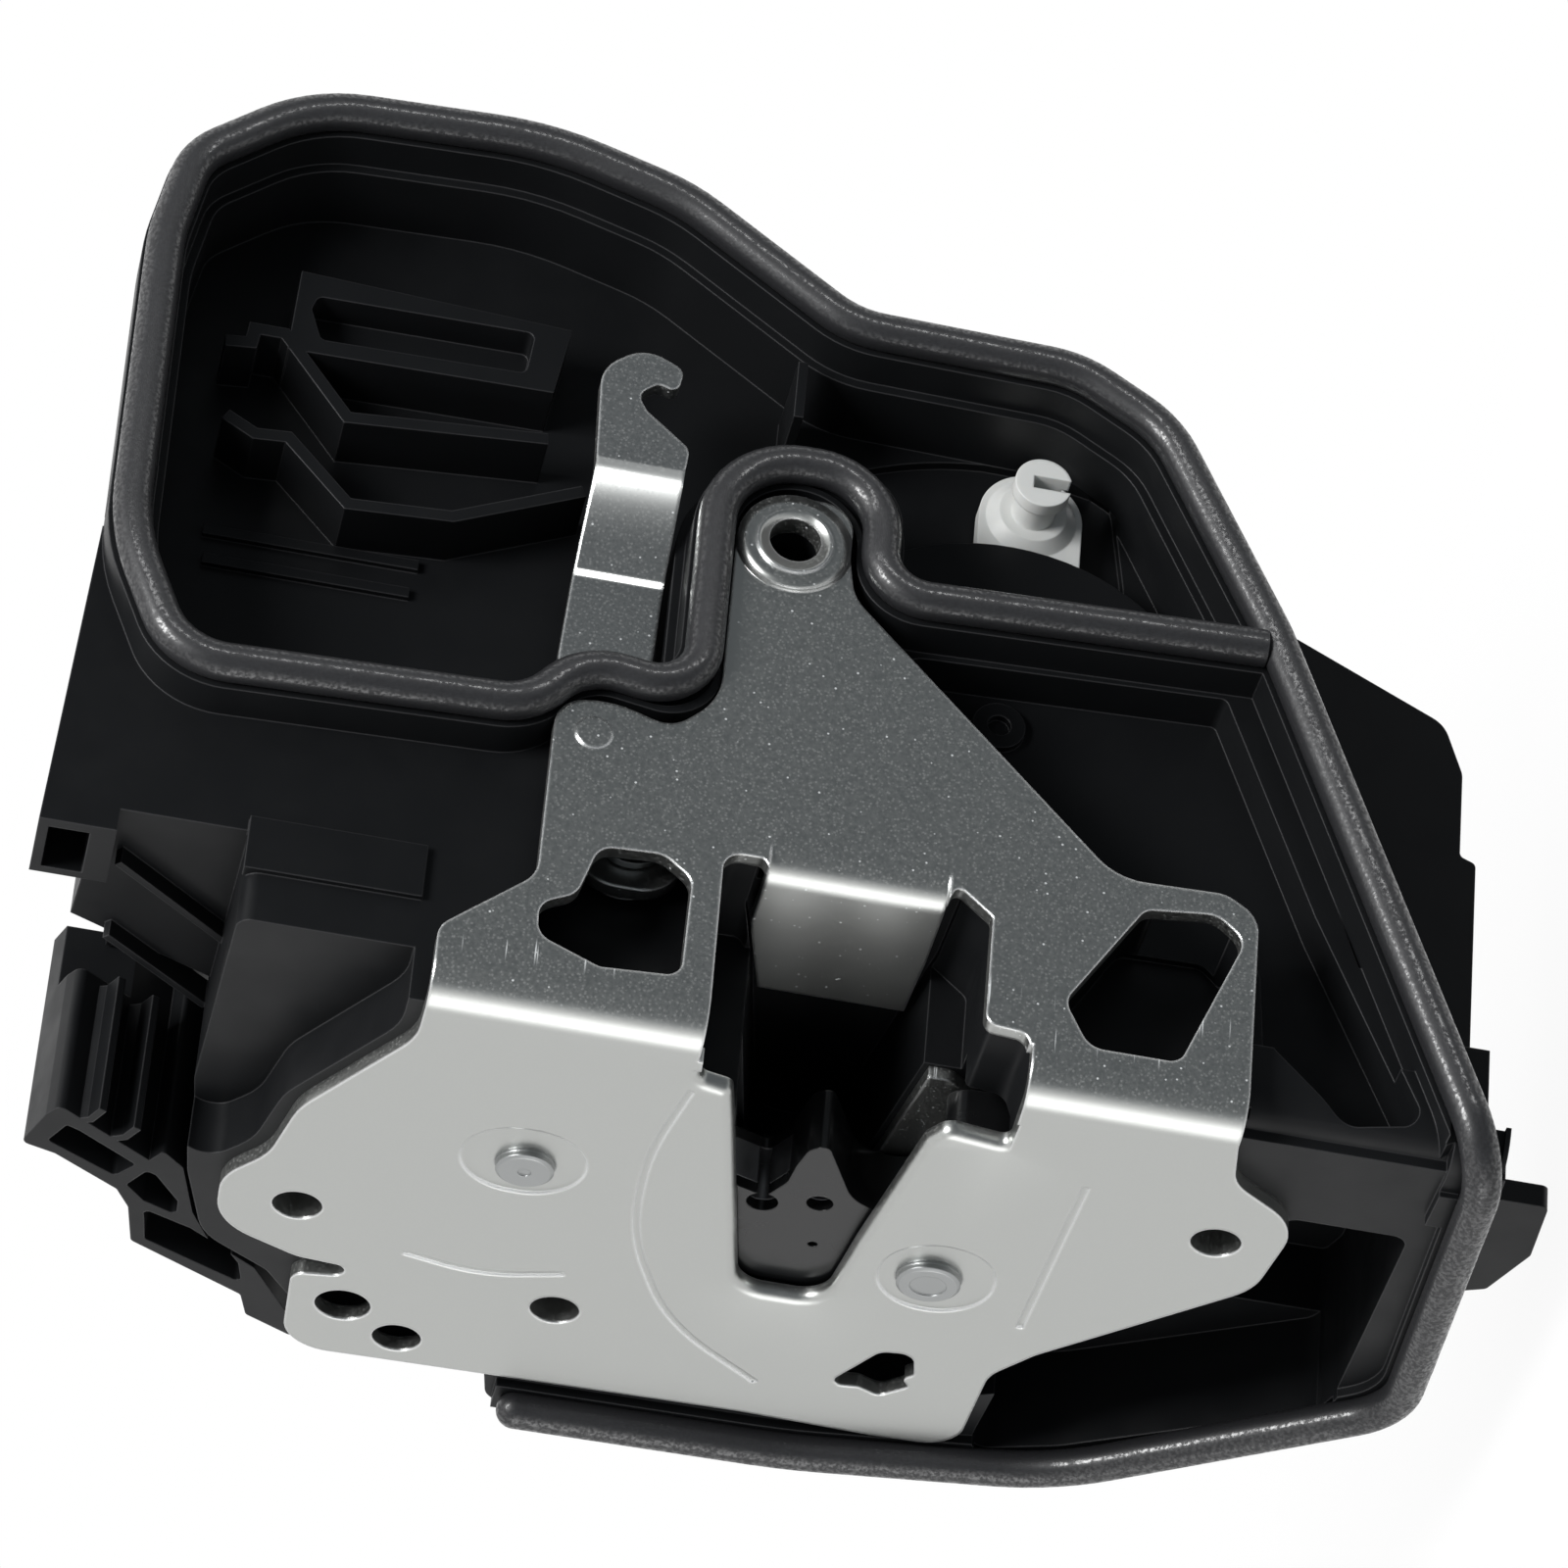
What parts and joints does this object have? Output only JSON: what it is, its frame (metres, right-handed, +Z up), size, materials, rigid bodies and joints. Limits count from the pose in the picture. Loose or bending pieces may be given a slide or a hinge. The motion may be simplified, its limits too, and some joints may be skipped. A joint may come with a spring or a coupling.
{
  "type": "door latch actuator",
  "caption": "Door latch with a bent steel lock plate, slotted for the striker, on a black housing with a rubber seal, cable levers and an electric lock drive behind.",
  "frame": {"origin": "mouth of the upper screw hole in the shut face of the lock plate", "axes": "+Z up, +X forward into the door from the shut face, +Y towards the outside of the car, as fitted in a left front door"},
  "size_m": [0.1289, 0.0952, 0.1846],
  "materials": {
    "plate_steel": "satin zinc coat",
    "housing_black": "fine moulded",
    "case_black": "fine moulded",
    "seal_rubber": "matt foam skin",
    "pin_steel": "turned",
    "fork_steel": "hardened",
    "cover_black": "glossy overmould",
    "bump_rubber": "matt",
    "lever_steel": "satin zinc coat",
    "lever_white": "natural polymer",
    "wheel_white": "natural polymer",
    "motor_can": "drawn steel",
    "worm_brass": "machined",
    "screw_steel": "zinc coat",
    "spring_steel": "drawn wire",
    "switch_black": "moulded",
    "contact_tin": "tinned"
  },
  "bodies": {
    "base": {"lock_plate": "plate_steel", "seal": "seal_rubber", "housing": "housing_black", "cable_duct": "housing_black", "catch_pivot": "pin_steel", "pawl_pivot": "pin_steel", "backplate": "plate_steel", "bump_stop": "bump_rubber", "catch_switch": "switch_black", "pawl_switch": "switch_black", "hook_pin": "pin_steel", "lever_pin": "pin_steel", "wheel_pin": "pin_steel", "motor": "motor_can", "actuator_case": "case_black", "case_screws": "screw_steel", "outer_pin": "pin_steel", "connector_socket": "switch_black", "connector_pins": "contact_tin", "catch_spring": "spring_steel", "pawl_spring": "spring_steel", "hook_spring": "spring_steel"},
    "catch": {"catch_core": "fork_steel", "catch_cover": "cover_black"},
    "pawl": {"pawl_core": "fork_steel", "pawl_cover": "cover_black"},
    "hook": {"hook_lever": "lever_steel"},
    "lock": {"lock_lever": "lever_white"},
    "wheel": {"worm_wheel": "wheel_white"},
    "worm": {"motor_worm": "worm_brass"},
    "outer": {"outer_lever": "lever_steel"},
    "key": {"key_coupler": "wheel_white"},
    "catch_feeler": {"catch_plunger": "wheel_white"},
    "pawl_feeler": {"pawl_plunger": "wheel_white"}
  },
  "joints": [
    {"name": "catch_turn", "type": "hinge", "parent": "base", "child": "catch", "pos_m": [0.0066, -0.0064, -0.0748], "axis": [-1, 0, 0], "range_deg": [0, 66], "stiffness_Nm_per_rad": 0.02, "springref_deg": -17.19},
    {"name": "pawl_turn", "type": "hinge", "parent": "base", "child": "pawl", "pos_m": [0.0066, -0.0168, -0.0246], "axis": [-1, 0, 0], "range_deg": [-3.5, 7], "stiffness_Nm_per_rad": 0.05},
    {"name": "hook_turn", "type": "hinge", "parent": "base", "child": "hook", "pos_m": [0.03, -0.0426, -0.03], "axis": [0, -1, 0], "range_deg": [0, 15], "stiffness_Nm_per_rad": 0.05, "springref_deg": -11.46},
    {"name": "lock_turn", "type": "hinge", "parent": "base", "child": "lock", "pos_m": [0.0572, -0.0357, -0.0727], "axis": [0, -1, 0], "range_deg": [0, 24]},
    {"name": "wheel_turn", "type": "hinge", "parent": "base", "child": "wheel", "pos_m": [0.0712, -0.019, -0.04845], "axis": [0, -1, 0], "range_deg": [-72.5, 0.5]},
    {"name": "worm_turn", "type": "hinge", "parent": "base", "child": "worm", "pos_m": [0.0712, -0.019, -0.02945], "axis": [1, 0, 0], "range_deg": [-1730, 2]},
    {"name": "outer_turn", "type": "hinge", "parent": "base", "child": "outer", "pos_m": [0.044, -0.0035, 0.002], "axis": [0, -1, 0], "range_deg": [0, 20], "stiffness_Nm_per_rad": 0.05, "springref_deg": -11.46},
    {"name": "key_turn", "type": "hinge", "parent": "base", "child": "key", "pos_m": [0.095, -0.006, -0.066], "axis": [0, -1, 0], "range_deg": [-60, 60]},
    {"name": "catch_feel", "type": "slide", "parent": "base", "child": "catch_feeler", "axis": [1, 0, 0], "range_m": [0, 0.0008], "stiffness_N_per_m": 200},
    {"name": "pawl_feel", "type": "slide", "parent": "base", "child": "pawl_feeler", "axis": [1, 0, 0], "range_m": [0, 0.0008], "stiffness_N_per_m": 200}
  ],
  "couplings": [
    {"joint": "wheel_turn", "follows": "lock_turn", "ratio": -3},
    {"joint": "worm_turn", "follows": "lock_turn", "ratio": -72}
  ]
}
